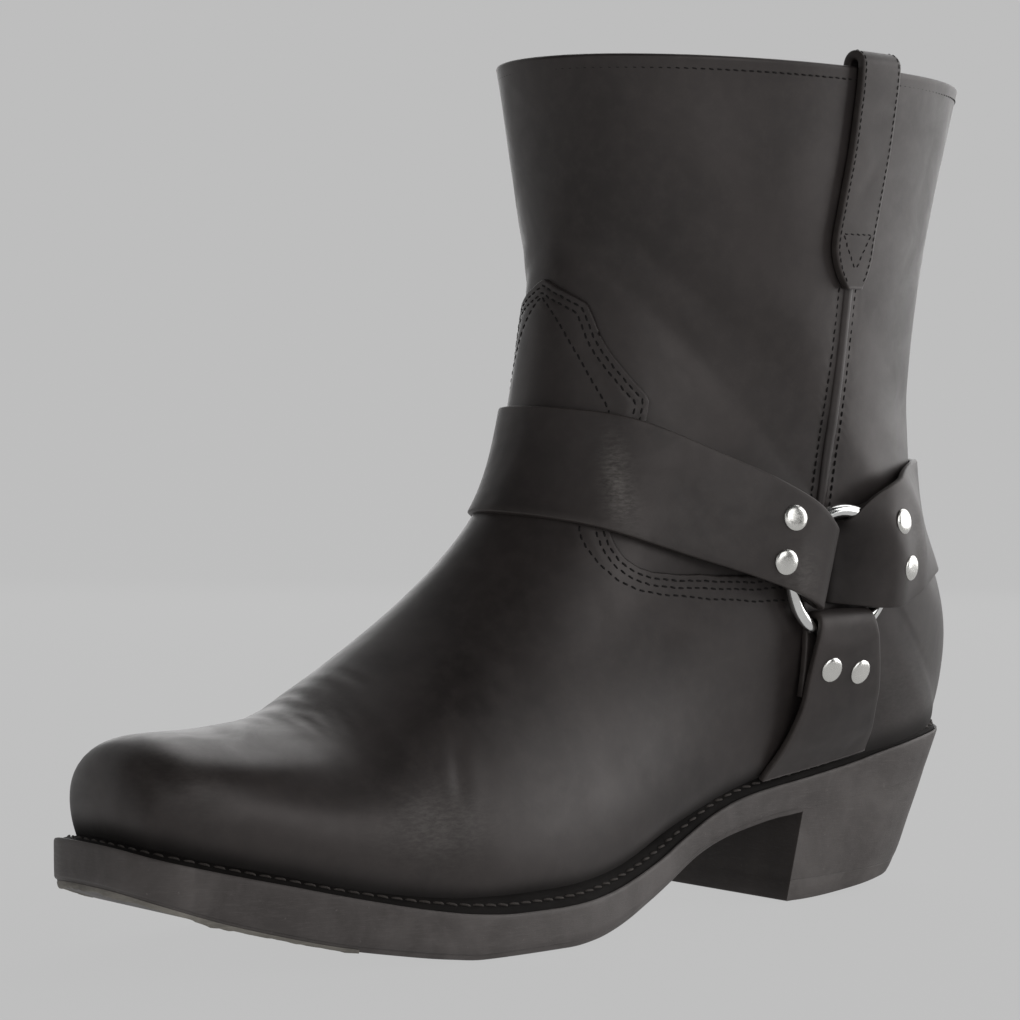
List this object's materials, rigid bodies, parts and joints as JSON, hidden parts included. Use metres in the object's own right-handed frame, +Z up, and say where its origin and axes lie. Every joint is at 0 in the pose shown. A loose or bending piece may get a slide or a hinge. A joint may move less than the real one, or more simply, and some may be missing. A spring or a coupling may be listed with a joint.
{
  "type": "harness boot",
  "caption": "Ankle-high leather pull-on boot for the left foot, with a squared toe, stacked heel, side pull straps and leather harness straps joined by metal rings.",
  "frame": {"origin": "on the floor, under the middle of the boot's bounding box", "axes": "+Y from toe to heel, +X towards the wearer's left (the outer side), +Z up"},
  "size_m": [0.1196, 0.3154, 0.2605],
  "materials": {
    "heel_block": "satin",
    "heel_lift": "matte",
    "insole": "plain leather board",
    "outsole": "matte",
    "pull_strap": "smooth oiled leather, satin",
    "ring": "polished",
    "rivet": "polished nickel",
    "strap": "smooth oiled leather, satin",
    "upper": "smooth oiled leather, satin",
    "welt": "matte"
  },
  "bodies": {
    "boot": {"heel_block": "heel_block", "heel_lift": "heel_lift", "heel_strap": "strap", "insole": "insole", "instep_strap": "strap", "outsole": "outsole", "pull_strap_inner": "pull_strap", "pull_strap_outer": "pull_strap", "rivet_down_inner_1": "rivet", "rivet_down_inner_2": "rivet", "rivet_down_outer_1": "rivet", "rivet_down_outer_2": "rivet", "rivet_heel_inner_1": "rivet", "rivet_heel_inner_2": "rivet", "rivet_heel_outer_1": "rivet", "rivet_heel_outer_2": "rivet", "rivet_instep_inner_1": "rivet", "rivet_instep_inner_2": "rivet", "rivet_instep_outer_1": "rivet", "rivet_instep_outer_2": "rivet", "sole_strap_inner": "strap", "sole_strap_outer": "strap", "upper": "upper", "welt": "welt"},
    "ring_outer": {"ring_outer": "ring"},
    "ring_inner": {"ring_inner": "ring"}
  },
  "joints": [
    {"name": "ring_outer_spin", "type": "hinge", "parent": "boot", "child": "ring_outer", "pos_m": [0.0503, 0.07474, 0.102], "axis": [0.9976, -0.0381, -0.0572], "continuous": true},
    {"name": "ring_inner_spin", "type": "hinge", "parent": "boot", "child": "ring_inner", "pos_m": [-0.04922, 0.07474, 0.102], "axis": [-0.9943, -0.067, -0.0835], "continuous": true}
  ]
}
